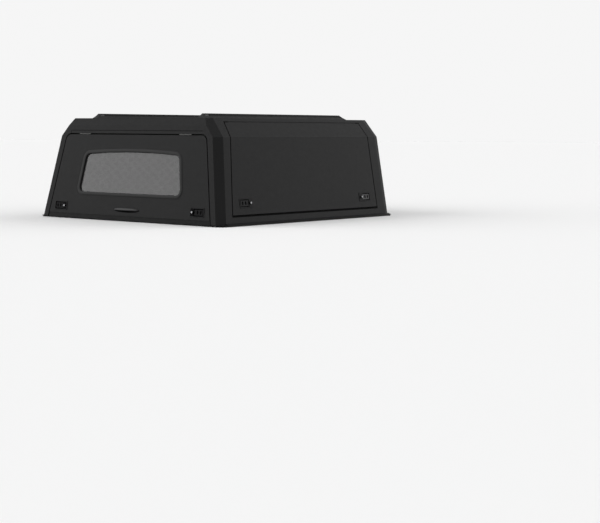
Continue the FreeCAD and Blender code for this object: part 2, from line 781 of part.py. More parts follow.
def roof_rail():
    rail = body("roof_rail", Placement(Vector(value("rail_at"), value(rear_at), value("roof_up")), Rotation()))
    long = "(body_length - rail_rear - rail_front)"
    hat = [("(-rail_half_foot)", "0"), ("rail_half_foot", "0"), ("rail_half_top", "rail_waist"),
           ("rail_half_top", "rail_tall"), ("(-rail_half_top)", "rail_tall"), ("(-rail_half_top)", "rail_waist")]
    under = [("(rail_sheet - rail_half_foot)", "(-rail_sheet)"), ("(rail_half_foot - rail_sheet)", "(-rail_sheet)"),
             ("(rail_half_top - rail_sheet)", "rail_waist"),
             ("(rail_half_top - rail_sheet)", "(rail_tall - rail_sheet)"),
             ("(rail_sheet - rail_half_top)", "(rail_tall - rail_sheet)"),
             ("(rail_sheet - rail_half_top)", "rail_waist")]
    grow(rail, "Pad", "rail_bar", sketch_in(rail, "rail_hat", "XZ_Plane", hat, "(-rail_rear)"), long, back=True)
    grow(rail, "Pocket", "rail_hollow", sketch_in(rail, "rail_under", "XZ_Plane", under,
                                                  "(-rail_body_rear - rail_sheet)"),
         "(body_length - rail_front - rail_front_run - rail_body_rear - 2 * rail_sheet)")
    end, over = "(body_length - rail_front)", "(rail_tall + rail_sheet)"
    nose = [(f"({end} - rail_front_run)", over), (f"({end} - rail_front_run)", "rail_tall"),
            (f"({end} + rail_sheet)", "0"), (f"({end} + rail_sheet)", over)]
    heel = [("(rail_rear - rail_sheet)", "0"), ("(rail_rear + rail_leg_run)", "rail_tall"),
            ("(rail_rear + rail_leg_run)", over), ("(rail_rear - rail_sheet)", over)]
    leg_lean = "(rail_leg_run / rail_tall)"
    bay = [(f"(rail_rear + {leg_lean} * rail_waist + rail_leg_width)", "rail_waist"), ("rail_body_rear", "rail_waist"),
           ("rail_body_rear", over), (f"(rail_rear + {leg_lean} * {over} + rail_leg_width)", over)]
    for name, points in (("rail_nose", nose), ("rail_heel", heel), ("rail_bay", bay)):
        last = grow(rail, "Pocket", name, sketch_in(rail, name + "_side", "YZ_Plane", points),
                    "4 * rail_half_foot", both=True)
    rail.Tip = last
    return rail


pair("roof_rail", roof_rail())


# Hinges: two leaves that lie along the gap, with knuckles in turn on one pin. In the hinge's own
# frame X runs along the pin, Y points to the fixed side and Z points out of the canopy.


def hinge_half(name, placement, width, knuckle, room, reach, run, fixed):
    """One leaf with its share of the knuckles; the fixed half carries the pin."""
    half = body(name, placement)
    side = 1 if fixed else -1
    count = max(3, 2 * round(value(width) / value(run) / 2) + 1)
    pitch = f"({width} / {count})"
    near, edge = f"({side} * ({room} - hinge_leaf))", f"({side} * {room})"
    low, high = (near, edge) if fixed else (edge, near)
    plate = rectangle(f"(-{width} / 2)", low, f"({width} / 2)", high)
    grow(half, "Pad", "leaf", sketch_in(half, "leaf_outline", "XY_Plane", plate, "(-hinge_notch)"),
         f"({reach} - hinge_notch)", back=True)
    bore = None if fixed else "hinge_bore"
    for i in range(count):
        if (i % 2 == 0) != fixed:
            continue
        centre = f"(({i} + 0.5 - {count} / 2) * {pitch})"
        start, long = f"({centre} - {pitch} / 2 + hinge_play / 2)", f"({pitch} - hinge_play)"
        tab = rectangle(start, low, f"({start} + {long})", high)
        grow(half, "Pad", f"tab_{i}", sketch_in(half, f"tab_{i}_outline", "XY_Plane", tab, "(-hinge_notch)"),
             "hinge_notch")
        ring = disc_in(half, f"knuckle_{i}_outline", "YZ_Plane", "0", "0", knuckle, start)
        grow(half, "Pad", f"knuckle_{i}", ring, long)
    if fixed:
        pin = disc_in(half, "pin_outline", "YZ_Plane", "0", "0", "hinge_pin", f"(-{width} / 2 + hinge_play)")
        last = grow(half, "Pad", "pin", pin, f"({width} - 2 * hinge_play)")
    else:
        eye = disc_in(half, "bore_outline", "YZ_Plane", "0", "0", "hinge_bore", f"(-{width} / 2)")
        last = grow(half, "Pocket", "bore", eye, width, back=True)
    half.Tip = last
    return half


rear_axis_up = "(rear_head_up + rear_head_gap / 2)"
side_axis_at, side_axis_up = head_point("-side_axis_in", "door_gap / 2")
side_hinge_rear = f"({side_kink} + side_head_lean * (side_head_up - shoulder_up) + side_hinge_margin)"
side_hinge_front = f"({front_at} - side_front - side_hinge_margin)"
side_hinge_long = f"({side_hinge_front} - {side_hinge_rear})"


def rear_hinges(fixed):
    halves = []
    for side in (-1, 1):
        spot = rear_frame.multVec(Vector(side * value("hinge_at"), value(rear_axis_up), 0))
        name = f"rear_hinge_{'fixed' if fixed else 'moving'}_{'right' if side > 0 else 'left'}"
        halves.append(hinge_half(name, Placement(spot, rear_frame.Rotation), "hinge_width", "hinge_knuckle",
                                 "(rear_head_gap / 2)", "hinge_reach", "(hinge_width / 3)", fixed))
    made = doc.addObject("Part::Compound", f"rear_hinges_{'fixed' if fixed else 'moving'}")
    made.Links = halves
    return made


def side_hinge(fixed):
    spot = Vector(value(side_axis_at), value(f"({side_hinge_rear} + {side_hinge_front}) / 2"), value(side_axis_up))
    lean = value(shoulder_lean)
    across = Rotation(Vector(0, 1, 0), Vector(-lean, 0, 1), Vector(1, 0, lean), "ZXY")
    return hinge_half(f"side_hinge_{'fixed' if fixed else 'moving'}", Placement(spot, across), side_hinge_long,
                      "side_knuckle", "(door_gap / 2)", "hinge_reach", "side_hinge_run", fixed)


node("rear_hinge_leaves_fixed", rear_hinges(True))
node("rear_hinge_leaves_moving", rear_hinges(False))
node("side_hinge_leaves_fixed", whole("side_leaves", side_hinge(True)))
pair("side_hinge_leaf_moving", side_hinge(False))


# Locks: a case let into the door skin, a key barrel at one end, a lever that folds out of the
# other. In the lock's own frame the barrel lies towards -X and Z points out.


lever_pin_at = "(barrel_radius - barrel_at + lever_eye + lever_to_barrel)"
lever_axis = "(lever_top - lever_eye)"
well_low = f"({lever_pin_at} - lever_eye - lever_eye_room)"
well_high = f"({case_half_long} - lock_wall)"
lever_end = f"({well_high} - lever_room)"


def lock_case(name, placement):
    case = body(name, placement)
    rounded = {number: "lock_corner" for number in range(4)}
    flange = sketch_in(case, "flange_outline", "XY_Plane", centred("lock_long / 2", "lock_tall / 2"), "0", rounded)
    grow(case, "Pad", "flange", flange, "lock_proud")
    grow(case, "Pad", "case_block", sketch_in(case, "case_outline", "XY_Plane",
                                              centred(case_half_long, case_half_tall)), "lock_deep", back=True)
    well = rectangle(well_low, f"(lock_wall - {case_half_tall})", well_high, f"({case_half_tall} - lock_wall)")
    grow(case, "Pocket", "well", sketch_in(case, "well_outline", "XY_Plane", well, "lock_proud"),
         "(lock_proud + lock_deep - lock_wall)")
    barrel = disc_in(case, "barrel_outline", "XY_Plane", "(-barrel_at)", "0", "barrel_radius")
    grow(case, "Pad", "barrel", barrel, "(lock_proud + barrel_proud)")
    pin = disc_in(case, "lever_pin_outline", "XZ_Plane", lever_pin_at, lever_axis, "lever_pin")
    case.Tip = grow(case, "Pad", "lever_pin_rod", pin, f"(2 * {case_half_tall} - lock_wall)", both=True)
    return case


def lock_lever(name, placement):
    lever = body(name, placement)
    side_view = [(lever_pin_at, f"({lever_axis} - lever_eye)"),
                 (lever_end, "(lever_top - lever_thick)"), (lever_end, "lever_top"), (lever_pin_at, "lever_top")]
    grow(lever, "Pad", "plate", sketch_in(lever, "plate_side", "XZ_Plane", side_view), "lever_tall", both=True)
    eye = disc_in(lever, "eye_outline", "XZ_Plane", lever_pin_at, lever_axis, "lever_eye")
    grow(lever, "Pad", "eye", eye, "lever_tall", both=True)
    bore = disc_in(lever, "eye_bore_outline", "XZ_Plane", lever_pin_at, lever_axis, "lever_bore")
    lever.Tip = grow(lever, "Pocket", "eye_bore", bore, "2 * lever_tall", both=True)
    return lever


def lock_spot(plane, x, y, turned):
    base = planes[plane]
    spot = base.multVec(Vector(value(x), value(y), 0))
    return Placement(spot, base.Rotation.multiply(Rotation(Vector(0, 0, 1), 180 if turned else 0)))


def lock_cases(name, plane, places):
    made = doc.addObject("Part::Compound", name)
    made.Links = [lock_case(f"{name}_{i}", lock_spot(plane, x, y, turned)) for i, (x, y, turned) in enumerate(places)]
    return made


rear_locks = [("rear_lock_at", "rear_lock_up", False), ("(-rear_lock_at)", "rear_lock_up", True)]
side_locks = [(*side_spots[0], True), (*side_spots[1], False)]
node("rear_lock_cases", lock_cases("rear_lock_cases", "rear", rear_locks))
pair("side_lock_cases", lock_cases("side_lock_cases", "flank", side_locks))
for label, place in zip(("rear_lever_right", "rear_lever_left"), rear_locks):
    node(label, lock_lever(label, lock_spot("rear", *place)))
for label, place in zip(("side_rear_lever", "side_front_lever"), side_locks):
    pair(label, lock_lever(label + "_body", lock_spot("flank", *place)))


# Pull handle: a moulded grip on the rear door, straight on top and full below, hollow behind


def pull_handle():
    pull = body("pull", rear_frame)
    outline = rectangle("(-pull_half)", "pull_low", "pull_half", "pull_high")
    grow(pull, "Pad", "grip", sketch_in(pull, "grip_outline", "XY_Plane", outline, "0",
                                        {0: "pull_corner", 1: "pull_corner",
                                         2: "pull_corner_top", 3: "pull_corner_top"}), "pull_proud")
    doc.recompute()
    grip = pull.Tip
    front = [f"Edge{i + 1}" for i, edge in enumerate(grip.Shape.Edges)
             if min(v.Z for v in edge.Vertexes) > value("pull_proud") - 0.01]
    rounding = pull.newObject("PartDesign::Fillet", "grip_rounding")
    rounding.Base = (grip, front)
    bind(rounding, Radius="pull_round")
    finger = rectangle("(pull_end - pull_half)", "(pull_low - pull_wall)", "(pull_half - pull_end)",
                       "(pull_high - pull_top)")
    pull.Tip = grow(pull, "Pocket", "finger_room", sketch_in(pull, "finger_outline", "XY_Plane", finger, "pull_wall"),
                    "(pull_proud - pull_wall - pull_face)", back=True)
    return pull


node("rear_door_pull", pull_handle())

doc.recompute()
for thing in doc.Objects:
    if "Invalid" in thing.State or "Error" in thing.State:
        raise RuntimeError(f"{thing.Name} failed: {thing.State}")
for label, made in nodes.items():
    if made.Shape.isNull() or not made.Shape.isValid():
        raise RuntimeError(f"{label} has no valid shape")
for label, made in nodes.items():
    made.Shape.exportStep(f"parts/{label}.step")
print(f"{len(nodes)} sub-parts written")
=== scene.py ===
import json
import math

import bmesh
import bpy
from mathutils import Matrix, Vector


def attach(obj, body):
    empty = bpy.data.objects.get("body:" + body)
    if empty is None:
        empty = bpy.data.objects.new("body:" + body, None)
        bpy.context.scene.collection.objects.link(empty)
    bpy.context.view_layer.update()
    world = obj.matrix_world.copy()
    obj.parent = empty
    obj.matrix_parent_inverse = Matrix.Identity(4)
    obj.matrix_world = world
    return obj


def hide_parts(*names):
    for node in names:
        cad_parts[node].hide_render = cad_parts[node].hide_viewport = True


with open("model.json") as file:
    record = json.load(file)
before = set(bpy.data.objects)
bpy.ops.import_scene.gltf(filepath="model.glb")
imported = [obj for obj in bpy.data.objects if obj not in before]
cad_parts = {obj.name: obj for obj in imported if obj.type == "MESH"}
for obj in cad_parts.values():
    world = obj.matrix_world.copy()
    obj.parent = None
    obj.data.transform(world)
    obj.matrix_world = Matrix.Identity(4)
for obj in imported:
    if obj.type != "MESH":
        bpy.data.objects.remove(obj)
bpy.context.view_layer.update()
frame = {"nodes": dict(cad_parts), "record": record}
nodes = frame["nodes"]
print("packed canopy loaded")


# finishes: every pattern reads object coordinates, in metres

patternSpan = (0.3, 0.7)  # the part of a noise pattern that goes from dark to light and from glossy to dull
edgeSamples = 4  # rays that soften an edge


def newFinish(name, colour, roughness, specular, metal=0.0):
    finish = bpy.data.materials.new(name)
    finish.use_nodes = True
    shader = finish.node_tree.nodes["Principled BSDF"]
    shader.inputs["Base Color"].default_value = (*colour, 1)
    shader.inputs["Roughness"].default_value = roughness
    shader.inputs["Specular IOR Level"].default_value = specular
    shader.inputs["Metallic"].default_value = metal
    return finish, shader


def addNoise(finish, scale, detail=3.0, stretch=(1, 1, 1)):
    tree = finish.node_tree
    place = tree.nodes.new("ShaderNodeTexCoord")
    turn = tree.nodes.new("ShaderNodeMapping")
    turn.inputs["Scale"].default_value = stretch
    noise = tree.nodes.new("ShaderNodeTexNoise")
    noise.inputs["Scale"].default_value = scale
    noise.inputs["Detail"].default_value = detail
    tree.links.new(place.outputs["Object"], turn.inputs["Vector"])
    tree.links.new(turn.outputs["Vector"], noise.inputs["Vector"])
    return noise.outputs["Fac"]


def tone(finish, shader, pattern, dark, light, span=patternSpan):
    tree = finish.node_tree
    ramp = tree.nodes.new("ShaderNodeValToRGB")
    for stop, position, colour in zip(ramp.color_ramp.elements, span, (dark, light)):
        stop.position = position
        stop.color = (*colour, 1)
    tree.links.new(pattern, ramp.inputs["Fac"])
    tree.links.new(ramp.outputs["Color"], shader.inputs["Base Color"])


def sheen(finish, shader, pattern, low, high):
    tree = finish.node_tree
    span = tree.nodes.new("ShaderNodeMapRange")
    for socket, value in zip(("From Min", "From Max", "To Min", "To Max"), (*patternSpan, low, high)):
        span.inputs[socket].default_value = value
    tree.links.new(pattern, span.inputs["Value"])
    tree.links.new(span.outputs["Result"], shader.inputs["Roughness"])


def relief(finish, shader, pattern, depth, strength, edge):
    tree = finish.node_tree
    bump = tree.nodes.new("ShaderNodeBump")
    bump.inputs["Strength"].default_value = strength
    bump.inputs["Distance"].default_value = depth
    tree.links.new(pattern, bump.inputs["Height"])
    if edge:
        softEdge = tree.nodes.new("ShaderNodeBevel")
        softEdge.samples = edgeSamples
        softEdge.inputs["Radius"].default_value = edge
        tree.links.new(softEdge.outputs["Normal"], bump.inputs["Normal"])
    tree.links.new(bump.outputs["Normal"], shader.inputs["Normal"])


# powder coat of the sheets: its tone drifts slowly, its gloss faster, under a fine grain

powderLook = {
    "dark": (0.0094, 0.0094, 0.0096), "light": (0.01, 0.01, 0.0102), "drift": 3,
    "roughness": 0.5, "glossDrift": 45, "glossSpan": (0.47, 0.53), "specular": 0.08,
    "grain": 900, "grainDetail": 2, "depth": 0.0001, "strength": 0.3, "edge": 0.0012,
}


def powderCoat():
    look = powderLook
    finish, shader = newFinish("powderCoat", look["light"], look["roughness"], look["specular"])
    tone(finish, shader, addNoise(finish, look["drift"]), look["dark"], look["light"])
    sheen(finish, shader, addNoise(finish, look["glossDrift"]), *look["glossSpan"])
    grain = addNoise(finish, look["grain"], look["grainDetail"])
    relief(finish, shader, grain, look["depth"], look["strength"], look["edge"])
    return finish


# coats with a single grain: each states what is its own, and takes the rest from commonLook

commonLook = {
    "specular": 0.5, "metal": 0, "glossShares": (0.85, 1.15),  # shares of its roughness
    "stretch": (1, 1, 1), "depth": 0.0001, "strength": 0.4, "edge": 0,
}
coatLooks = {
    "zincPlate": {
        "dark": (0.03, 0.03, 0.03), "light": (0.06, 0.06, 0.058),
        "roughness": 0.35, "grain": 220, "metal": 0.9, "stretch": (1, 8, 8),
    },
    "lockCoat": {
        "dark": (0.002, 0.002, 0.0022), "light": (0.003, 0.003, 0.0033),
        "roughness": 0.5, "grain": 500, "specular": 0.02, "edge": 0.0006,
    },
    "gripPlastic": {
        "dark": (0.013, 0.013, 0.0135), "light": (0.017, 0.017, 0.0175),
        "roughness": 0.4, "grain": 700, "specular": 0.25, "depth": 0.00006,
    },
    "sealRubber": {
        "dark": (0.007, 0.007, 0.007), "light": (0.009, 0.009, 0.009),
        "roughness": 0.6, "grain": 300, "specular": 0.2, "edge": 0.001,
    },
    # painted light: a lighter copy of the black coat on the side lock cases, lifting them out of the shade of their
    # recesses
    "sideCasePaintedLight": {
        "dark": (0.0105, 0.0105, 0.0106), "light": (0.0115, 0.0115, 0.0116),
        "roughness": 0.5, "grain": 500, "specular": 0.06, "edge": 0.0006,
    },
    # painted light: a lighter copy of the black coat on the roof rails, whose faces catch the light
    "railPaintedLight": {
        "dark": (0.0125, 0.0125, 0.0127), "light": (0.0135, 0.0135, 0.0137),
        "roughness": 0.5, "grain": 45, "specular": 0.1, "edge": 0.0012,
    },
    # painted shade: a darker copy of the black coat on the rear door's bottom skirt, which faces down into shade
    "skirtPaintedShade": {
        "dark": (0.0068, 0.0068, 0.0069), "light": (0.0075, 0.0075, 0.0076),
        "roughness": 0.5, "grain": 45, "specular": 0.06, "edge": 0.0012,
    },
    "barrelChrome": {
        "dark": (0.17, 0.17, 0.175), "light": (0.2, 0.2, 0.205),
        "roughness": 0.22, "grain": 260, "metal": 1, "depth": 0.00003,
    },
    "leverCoat": {
        "dark": (0.0028, 0.0028, 0.003), "light": (0.0038, 0.0038, 0.004),
        "roughness": 0.42, "grain": 500, "specular": 0.05, "edge": 0.0006,
    },
    # painted light: a lighter copy of the lever coat for the side doors' rear levers
    "leverDoor": {
        "dark": (0.008, 0.008, 0.0083), "light": (0.0092, 0.0092, 0.0095),
        "roughness": 0.45, "grain": 500, "specular": 0.08, "edge": 0.0006,
    },
    # painted light: a much lighter copy of the lever coat for the side doors' front levers
    "leverGrey": {
        "dark": (0.018, 0.018, 0.0185), "light": (0.024, 0.024, 0.0245),
        "roughness": 0.42, "grain": 420, "specular": 0.2, "edge": 0.0006,
    },
    # painted shade: near black for the finger scoops, key slots, the plate behind the pull and the dark bands in the
    # folds, where shade falls
    "paintedShadeBlack": {
        "dark": (0.0012, 0.0012, 0.0013), "light": (0.0018, 0.0018, 0.0019),
        "roughness": 0.7, "grain": 400, "specular": 0.02,
    },
    "meshZinc": {
        "dark": (0.7, 0.7, 0.7), "light": (0.8, 0.8, 0.8),
        "roughness": 0.5, "grain": 180, "metal": 0.1,
    },
    "windowRubber": {
        "dark": (0.0095, 0.0095, 0.0096), "light": (0.0115, 0.0115, 0.0116),
        "roughness": 0.6, "grain": 300, "specular": 0.2,
    },
    # painted highlight: grey for the end piece in each rail's bay, where the slanted rear end catches light
    "railEndPaintedHighlight": {
        "dark": (0.08, 0.08, 0.08), "light": (0.1, 0.1, 0.1),
        "roughness": 0.5, "grain": 240, "specular": 0.3,
    },
}


def plainFinish(name, look):
    finish, shader = newFinish(name, look["light"], look["roughness"], look["specular"], look["metal"])
    pattern = addNoise(finish, look["grain"], stretch=look["stretch"])
    tone(finish, shader, pattern, look["dark"], look["light"])
    low, high = look["glossShares"]
    sheen(finish, shader, pattern, look["roughness"] * low, look["roughness"] * high)
    relief(finish, shader, pattern, look["depth"], look["strength"], look["edge"])
    return finish


# tinted glass: in the rear window the guard mesh behind it shows as faint lighter lines in diamonds

glassLook = {
    "dark": (0.037, 0.037, 0.0373), "light": (0.051, 0.051, 0.0513), "lineSpan": (0.5, 1),
    "wide": 0.0795, "tall": 0.0541, "phases": (1.19, 0.593),  # a diamond's size, and where each way's lines start
    "plainDark": (0.036, 0.036, 0.0363), "plainLight": (0.04, 0.04, 0.0404), "drift": 5,
    "roughness": 0.06, "glossDrift": 12, "glossSpan": (0.05, 0.09), "specular": 0.35, "alpha": 0.88,
}
waveScale = 0.2 * math.pi  # a diagonal wave at this scale repeats once a metre


def diamondLines(finish):
    tree = finish.node_tree
    place = tree.nodes.new("ShaderNodeTexCoord")
    both = tree.nodes.new("ShaderNodeMath")
    both.operation = "MAXIMUM"
    for number, way in enumerate((1, -1)):
        turn = tree.nodes.new("ShaderNodeMapping")
        turn.inputs["Scale"].default_value = (waveScale / glassLook["wide"], 0, way * waveScale / glassLook["tall"])
        wave = tree.nodes.new("ShaderNodeTexWave")
        wave.bands_direction = "DIAGONAL"
        wave.inputs["Scale"].default_value = 1
        wave.inputs["Phase Offset"].default_value = glassLook["phases"][number]
        tree.links.new(place.outputs["Object"], turn.inputs["Vector"])
        tree.links.new(turn.outputs["Vector"], wave.inputs["Vector"])
        tree.links.new(wave.outputs["Fac"], both.inputs[number])
    return both.outputs[0]


def glassFinish(name, guarded):
    look = glassLook
    finish, shader = newFinish(name, look["light"], look["roughness"], look["specular"])
    if guarded:
        tone(finish, shader, diamondLines(finish), look["dark"], look["light"], look["lineSpan"])
    else:
        tone(finish, shader, addNoise(finish, look["drift"]), look["plainDark"], look["plainLight"])
    sheen(finish, shader, addNoise(finish, look["glossDrift"]), *look["glossSpan"])
    shader.inputs["Alpha"].default_value = look["alpha"]
    return finish


coats = {name: plainFinish(name, {**commonLook, **look}) for name, look in coatLooks.items()}
coats["powderCoat"] = powderCoat()
coats["tintedGlass"] = glassFinish("tintedGlass", True)
coats["plainGlass"] = glassFinish("plainGlass", False)

slotCoats = {
    "black_steel": "powderCoat", "hinge_steel": "zincPlate", "lock_black": "lockCoat",
    "grip_plastic": "gripPlastic", "black_rubber": "sealRubber", "window_glass": "tintedGlass",
}
# the skirt, side lock cases and roof rails get darker or lighter copies of the black coat: painted shade and painted
# light
nodeCoats = {  # nodes that look a little different from the rest of their slot
    "front_window_glass": "plainGlass", "rear_door_skirt": "skirtPaintedShade",
    "side_lock_cases_right": "sideCasePaintedLight", "side_lock_cases_left": "sideCasePaintedLight",
    "roof_rail_right": "railPaintedLight", "roof_rail_left": "railPaintedLight",
}
for entry in frame["record"]["subparts"]:
    slots = nodes[entry["node"]].data.materials
    slots.clear()
    slots.append(coats[nodeCoats.get(entry["node"], slotCoats[entry["material_slot"]])])
print("finishes made")


# places of the sloping rear and flank, as the steel is drawn: millimetres across, up and out

slopes = {"rearRun": 78, "flankRun": 97, "rise": 520, "rear": -0.83, "side": 0.78}  # the last two in metres
millimetres = Matrix.Scale(0.001, 4)


def slopePlace(run, along, out, foot):
    long = math.hypot(run, slopes["rise"])
    up = (-Vector(out) * run + Vector((0, 0, 1)) * slopes["rise"]) / long
    lean = (Vector(out) * slopes["rise"] + Vector((0, 0, 1)) * run) / long
    turn = Matrix((Vector(along), up, lean)).transposed().to_4x4()
    return Matrix.Translation(foot) @ turn @ millimetres


rearPlace = slopePlace(slopes["rearRun"], (1, 0, 0), (0, -1, 0), (0, slopes["rear"], 0))
flankPlace = slopePlace(slopes["flankRun"], (0, 1, 0), (1, 0, 0), (slopes["side"], 0, 0))
otherSide = Matrix.Diagonal((-1, 1, 1, 1))


# steps that several pieces share

mergeGap = 0.00001  # metres


def addBlock(shape, size, spot, turn=0.0):
    block = bmesh.ops.create_cube(shape, size=1)["verts"]
    bmesh.ops.scale(shape, vec=size, verts=block)
    bmesh.ops.rotate(shape, matrix=Matrix.Rotation(turn, 3, "Z"), verts=block)
    bmesh.ops.translate(shape, vec=spot, verts=block)
    return block


def softenEdges(shape, edges, width, segments=3):
    bmesh.ops.bevel(shape, geom=edges, offset=width, segments=segments, profile=0.5, affect="EDGES", material=-1)


def cutAway(shape, spot, normal):
    everything = shape.verts[:] + shape.edges[:] + shape.faces[:]
    bmesh.ops.bisect_plane(shape, geom=everything, plane_co=spot, plane_no=normal, clear_outer=True)


def extrudeFace(shape, face, step):
    grown = bmesh.ops.extrude_face_region(shape, geom=[face])["geom"]
    bmesh.ops.translate(shape, vec=step, verts=[item for item in grown if isinstance(item, bmesh.types.BMVert)])


def openEdges(shape):
    return [edge for edge in shape.edges if edge.is_boundary]


def settle(shape, name, place, body, coatNames, replaced=(), sharpAngle=0):
    bmesh.ops.transform(shape, matrix=place, verts=shape.verts)
    bmesh.ops.remove_doubles(shape, verts=shape.verts, dist=mergeGap)
    bmesh.ops.recalc_face_normals(shape, faces=shape.faces)
    mesh = bpy.data.meshes.new(name)
    shape.to_mesh(mesh)
    shape.free()
    piece = bpy.data.objects.new(name, mesh)
    bpy.context.collection.objects.link(piece)
    for coatName in coatNames:
        mesh.materials.append(coats[coatName])
    if sharpAngle:  # shaded smooth, but for edges that are sharper than this
        mesh.shade_smooth()
        mesh.set_sharp_from_angle(angle=math.radians(sharpAngle))
    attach(piece, body)
    if replaced:
        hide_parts(*replaced)


# rear window: rubber with a rounded lip, drawn as loops round the window at each step of its profile

window = {
    "low": 163.5, "high": 422.5, "halfLow": 456, "halfHigh": 414, "crown": 16, "topSteps": 12,
    "corner": 44, "lowShare": 1.175, "highShare": 0.85, "cornerSteps": 8,
    "profile": [  # how far out from the window's edge, and how high over the door's sheet
        (-11.5, -7), (-11.2, -2), (-10.6, 2.2), (-8.6, 3.6), (-4, 4.3), (1, 4.3), (5, 4.2), (8.8, 2.8), (11.2, 0),
        (-0.8, 0), (-0.8, -16), (-11.5, -16), (-11.5, -12), (-1.2, -12), (-1.2, -7),
    ],
    "sharpAngle": 40,
}
sideLean = (window["halfHigh"] - window["halfLow"]) / (window["high"] - window["low"])
sideFoot = window["halfLow"] - sideLean * window["low"]  # half width where its side's line meets the base


def windowLoop(shape, grow, height):
    reach = sideFoot + grow * math.hypot(1, sideLean)
    low, high = window["low"] - grow, window["high"] + grow
    foot, top = reach + sideLean * low, reach + sideLean * high
    points = [(-foot, low), (foot, low), (top, high)]
    for step in range(1, window["topSteps"]):
        across = 1 - 2 * step / window["topSteps"]
        points.append((top * across, high + window["crown"] * (1 - across * across)))
    points.append((-top, high))
    corners = [shape.verts.new((x, y, height)) for x, y in points]
    shape.faces.new(corners)
    radius = window["corner"] + grow
    pairs = ((corners[:2], window["lowShare"]), ([corners[2], corners[-1]], window["highShare"]))
    for pair, share in pairs:
        bmesh.ops.bevel(shape, geom=pair, offset=radius * share, segments=window["cornerSteps"],
                        profile=0.5, affect="VERTICES", material=-1)
    shape.faces.ensure_lookup_table()
    face = shape.faces[-1]
    edges = list(face.edges)
    bmesh.ops.delete(shape, geom=[face], context="FACES_ONLY")
    return edges


def windowSeal():
    shape = bmesh.new()
    loops = [windowLoop(shape, grow, height) for grow, height in window["profile"]]
    for first, second in zip(loops, loops[1:] + loops[:1]):
        bmesh.ops.bridge_loops(shape, edges=first + second)
    settle(shape, "windowSeal", rearPlace, "rear_door", ["windowRubber"],
           ["rear_window_seal"], window["sharpAngle"])


windowSeal()
print("window seal made")


# guard mesh behind the rear window: flat bars in two layers that cross in long diamonds

guard = {
    "wide": 80, "tall": 54.6, "bar": 3.2, "thick": 0.9, "barLong": 1300, "barsEachWay": 11,
    "layers": [{"depth": -13, "way": -1, "middle": 291.6}, {"depth": -14, "way": 1, "middle": 313.8}],
    "inset": 5, "shoulderInset": 4, "shoulderLean": 0.05,  # how far its outline stays within the window's
}


def guardMesh():
    shape = bmesh.new()
    angle = math.atan2(guard["tall"], guard["wide"])
    size = (guard["barLong"], guard["bar"], guard["thick"])
    for layer in guard["layers"]:
        for number in range(-guard["barsEachWay"], guard["barsEachWay"] + 1):
            spot = (0, layer["middle"] + number * guard["tall"], layer["depth"])
            addBlock(shape, size, spot, layer["way"] * angle)
    side = sideFoot - guard["inset"]
    shoulder = window["high"] - guard["shoulderInset"]
    cuts = [
        ((0, window["low"] + guard["inset"], 0), (0, -1, 0)),
        ((0, window["high"] + window["crown"] - guard["inset"], 0), (0, 1, 0)),
        ((side, 0, 0), (1, -sideLean, 0)),
        ((-side, 0, 0), (-1, -sideLean, 0)),
        ((window["halfHigh"], shoulder, 0), (guard["shoulderLean"], 1, 0)),
        ((-window["halfHigh"], shoulder, 0), (-guard["shoulderLean"], 1, 0)),
    ]
    for spot, normal in cuts:
        cutAway(shape, spot, normal)
        bmesh.ops.holes_fill(shape, edges=openEdges(shape), sides=0)
    settle(shape, "windowGuardMesh", rearPlace, "rear_door", ["meshZinc"])


guardMesh()
print("guard mesh made")


# painted shade: dark bands that fill the fold above the rear door and lie along the steel edge below each side door,
# for the shade in that fold and under that edge

shadeBands = {
    "header": {"low": 561.2, "high": 562.5, "start": -574, "end": 574, "deep": -1.5, "proud": 0.3},
    "sill": {"low": 53, "high": 58.2, "start": -702, "end": 721, "deep": -1, "proud": 0.9},
    "round": 0.4, "roundSteps": 2,
}


def paintShadeBand(name, shadeBand, place):
    shape = bmesh.new()
    spans = ((shadeBand["start"], shadeBand["end"]), (shadeBand["low"], shadeBand["high"]), (shadeBand["deep"], shadeBand["proud"]))
    size = [high - low for low, high in spans]
    middle = [(high + low) / 2 for low, high in spans]
    addBlock(shape, size, middle)
    softenEdges(shape, shape.edges[:], shadeBands["round"], shadeBands["roundSteps"])
    settle(shape, name, place, "shell", ["paintedShadeBlack"])


paintShadeBand("headerShadeBand", shadeBands["header"], rearPlace)
paintShadeBand("sillShadeBandRight", shadeBands["sill"], flankPlace)
paintShadeBand("sillShadeBandLeft", shadeBands["sill"], otherSide @ flankPlace)
print("beads made")


# locks: chrome key barrels with their slots, and levers with two finger scoops, the slots and scoops painted near
# black for their shade; x runs from barrel to lever

lock = {
    "rear": (595, 80), "sideRear": (-568, 134), "sideFront": (597, 134),  # where each sits, along and up
    "barrelAt": -36, "radius": 6, "foot": 8.5, "head": 10.2, "round": 0.8, "barrelSteps": 40,
    "dish": 1.6, "dishDeep": 0.5, "slot": (1.4, 6, 0.5),
    "leverRear": -20, "leverEnd": 45.5, "leverHalf": 17, "leverTop": 0.5, "leverThick": 4,
    "grid": (53, 28), "eye": 4, "eyeSteps": 28, "sharpAngle": 35,
    "scoops": (4, 30), "scoopWide": 6, "scoopTall": 11, "scoopDeep": 2.4,
    "scoopRim": 1.15, "scoopWall": 0.35,  # where a scoop's wall starts and how wide it is, in scoop radii
}
bezel = {"long": 114, "tall": 57, "wide": 5, "foot": 1.8, "thick": 0.7, "corner": 5.5, "cornerSteps": 5}


def lockPlace(plane, spot, turned):
    return plane @ Matrix.Translation((*spot, 0)) @ Matrix.Rotation(math.pi if turned else 0, 4, "Z")


